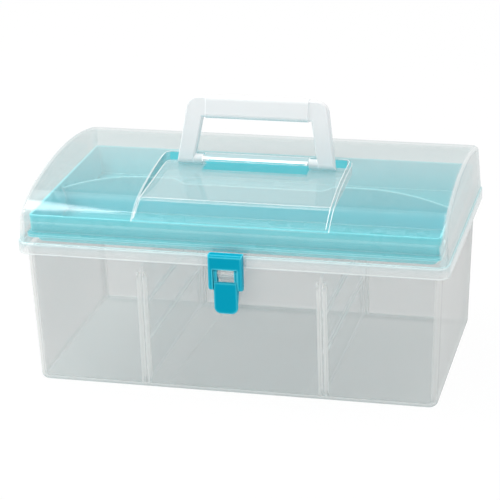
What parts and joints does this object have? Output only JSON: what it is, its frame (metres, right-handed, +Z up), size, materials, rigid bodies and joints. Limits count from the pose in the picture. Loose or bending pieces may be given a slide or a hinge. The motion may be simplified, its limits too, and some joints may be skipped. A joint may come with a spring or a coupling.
{
  "type": "sewing box",
  "caption": "Translucent moulded sewing box: tapered tub with slot-in dividers, lift-out tray, hinged arched lid with a folding bail handle, and a toggle latch.",
  "frame": {"origin": "under the middle of the closed box, on the surface it stands on", "axes": "+X to the right as seen from the latch, +Y from the latch to the rear hinges, +Z up"},
  "size_m": [0.33, 0.205, 0.2059],
  "materials": {
    "tub_plastic": "milky translucent",
    "divider_plastic": "milky translucent",
    "tray_plastic": "cyan translucent",
    "lid_plastic": "frosted translucent",
    "pin_steel": "bright",
    "handle_plastic": "white translucent",
    "latch_plastic": "gloss cyan"
  },
  "bodies": {
    "base": {"base_tub": "tub_plastic", "hinge_pin_left": "pin_steel", "hinge_pin_right": "pin_steel"},
    "lid": {"lid": "lid_plastic"},
    "handle": {"handle": "handle_plastic"},
    "latch_lever": {"latch_lever": "latch_plastic"},
    "latch_frame": {"latch_frame": "latch_plastic"},
    "tray": {"tray": "tray_plastic"},
    "divider_left": {"divider_left": "divider_plastic"},
    "divider_right": {"divider_right": "divider_plastic"}
  },
  "joints": [
    {"name": "lid_hinge", "type": "hinge", "parent": "base", "child": "lid", "pos_m": [0, 0.0985, 0.103], "axis": [-1, 0, 0], "range_deg": [0, 105]},
    {"name": "handle_fold", "type": "hinge", "parent": "lid", "child": "handle", "pos_m": [0, 0.0045, 0.157], "axis": [1, 0, 0], "range_deg": [0, 100]},
    {"name": "latch_lever_swing", "type": "hinge", "parent": "base", "child": "latch_lever", "pos_m": [0, -0.099, 0.1049], "axis": [-1, 0, 0], "range_deg": [0, 105]},
    {"name": "latch_frame_swing", "type": "hinge", "parent": "latch_lever", "child": "latch_frame", "pos_m": [0, -0.0982, 0.094], "axis": [1, 0, 0], "range_deg": [0, 105]},
    {"name": "tray_lift", "type": "slide", "parent": "base", "child": "tray", "axis": [0, 0, 1], "range_m": [0, 0.002]},
    {"name": "divider_left_lift", "type": "slide", "parent": "base", "child": "divider_left", "axis": [0, 0, 1], "range_m": [0, 0.008]},
    {"name": "divider_right_lift", "type": "slide", "parent": "base", "child": "divider_right", "axis": [0, 0, 1], "range_m": [0, 0.008]}
  ],
  "couplings": [
    {"joint": "latch_frame_swing", "follows": "latch_lever_swing", "ratio": 1}
  ]
}
